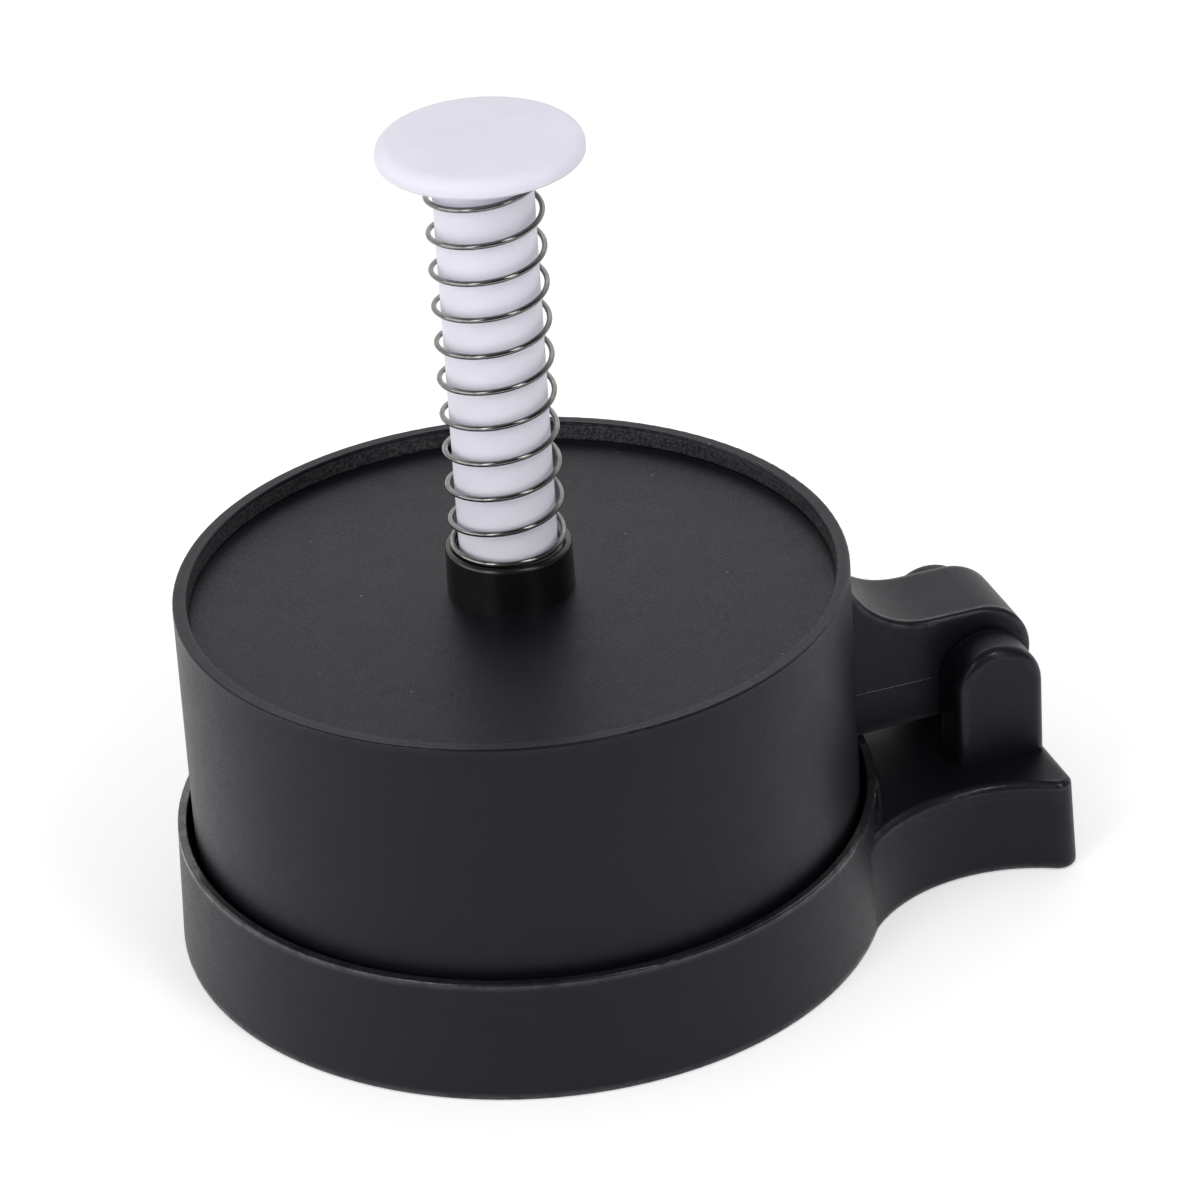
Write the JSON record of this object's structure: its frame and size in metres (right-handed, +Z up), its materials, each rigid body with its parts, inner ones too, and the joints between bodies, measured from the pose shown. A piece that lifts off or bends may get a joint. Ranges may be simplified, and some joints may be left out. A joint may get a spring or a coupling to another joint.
{
  "type": "burger press",
  "caption": "Hinged burger press: a drum that swings open over a round tray, with a sprung plunger that presses the patty.",
  "frame": {"origin": "on the surface that the press stands on, under the middle of the dish", "axes": "+X from the dish to the hinge, +Y along the hinge pin, +Z up"},
  "size_m": [0.1596, 0.1282, 0.154],
  "materials": {
    "black_moulding": "fine matte moulded black",
    "gloss_black": "polished black",
    "white_moulding": "smooth satin white with a faint lavender cast",
    "spring_steel": "bright drawn wire",
    "steel": "plain bright steel"
  },
  "bodies": {
    "base": {"base_tray": "black_moulding", "hinge_pin": "steel"},
    "drum": {"press_drum": "black_moulding", "guide_bush": "gloss_black", "return_spring": "spring_steel"},
    "plunger": {"plunger_rod": "white_moulding", "palm_knob": "white_moulding", "press_disc": "white_moulding", "disc_washer": "steel", "disc_screw": "steel"}
  },
  "joints": [
    {"name": "drum_hinge", "type": "hinge", "parent": "base", "child": "drum", "pos_m": [0.08575, 0, 0.0324], "axis": [0, 1, 0], "range_deg": [0, 130]},
    {"name": "plunger_slide", "type": "slide", "parent": "drum", "child": "plunger", "axis": [0, 0, -1], "range_m": [0, 0.0474], "stiffness_N_per_m": 126, "springref_m": -0.012, "deforming": ["return_spring"]}
  ]
}
